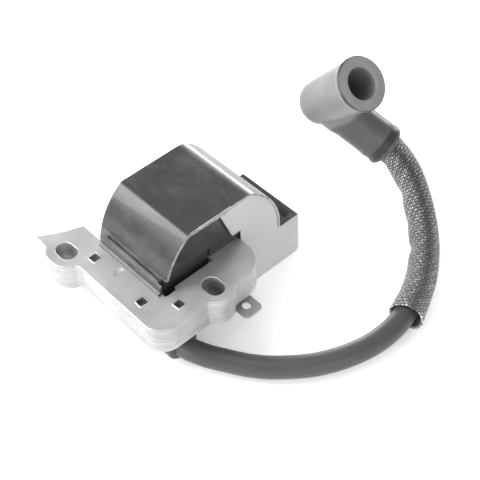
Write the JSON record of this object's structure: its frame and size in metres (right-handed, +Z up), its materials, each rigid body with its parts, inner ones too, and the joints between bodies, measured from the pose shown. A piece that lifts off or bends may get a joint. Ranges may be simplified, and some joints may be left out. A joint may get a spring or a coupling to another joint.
{
  "type": "ignition coil",
  "caption": "Ignition coil module on a laminated U-shaped core, with a kill tab and a sleeved high-tension lead that ends in an elbow plug boot.",
  "frame": {"origin": "middle of the coil body's footprint, on the surface that its case stands on; the lead, its sleeve and the boot are left out of the footprint", "axes": "+Z up, +Y from the core's yoke to its pole faces, +X from the bare leg to the leg that carries the coils"},
  "size_m": [0.114, 0.0959, 0.0647],
  "materials": {
    "laminated_steel": "ground steel sheet with a clear film",
    "case_plastic": "moulded, fine matt",
    "potting_resin": "cast resin",
    "bobbin_plastic": "moulded",
    "copper_wire": null,
    "insulating_tape": "polyester tape",
    "board": "glass-epoxy laminate",
    "capacitor_film": "dipped film capacitor",
    "component_black": "moulded epoxy",
    "resistor_coat": "lacquer",
    "plated_steel": "tin-plated strip",
    "spring_steel": "drawn wire",
    "terminal_brass": "plain",
    "lead_rubber": "extruded, soft sheen",
    "boot_rubber": "moulded, fine matt",
    "sleeve_braid": "black and grey woven glass yarn"
  },
  "bodies": {
    "coil_and_lead": {"core_stack": "laminated_steel", "core_top_sheet": "laminated_steel", "core_bottom_sheet": "laminated_steel", "case_shell": "case_plastic", "potting": "potting_resin", "primary_bobbin": "bobbin_plastic", "primary_winding": "copper_wire", "primary_tape": "insulating_tape", "secondary_bobbin": "bobbin_plastic", "secondary_winding": "copper_wire", "charge_bobbin": "bobbin_plastic", "charge_winding": "copper_wire", "circuit_board": "board", "capacitor": "capacitor_film", "thyristor": "component_black", "diodes": "component_black", "resistors": "resistor_coat", "kill_tab": "plated_steel", "ht_terminal": "terminal_brass", "lead_grommet": "lead_rubber", "lead_root": "lead_rubber", "lead_conductor": "copper_wire", "ht_lead": "lead_rubber", "lead_tip": "lead_rubber", "braided_sleeve": "sleeve_braid"},
    "boot": {"plug_boot": "boot_rubber", "plug_spring": "spring_steel", "terminal_spike": "terminal_brass"}
  },
  "joints": [
    {"name": "boot_swivel", "type": "hinge", "parent": "coil_and_lead", "child": "boot", "pos_m": [0.07072, -0.01968, 0.028], "axis": [0.4508, -0.616, -0.646], "range_deg": [-90, 90]}
  ]
}
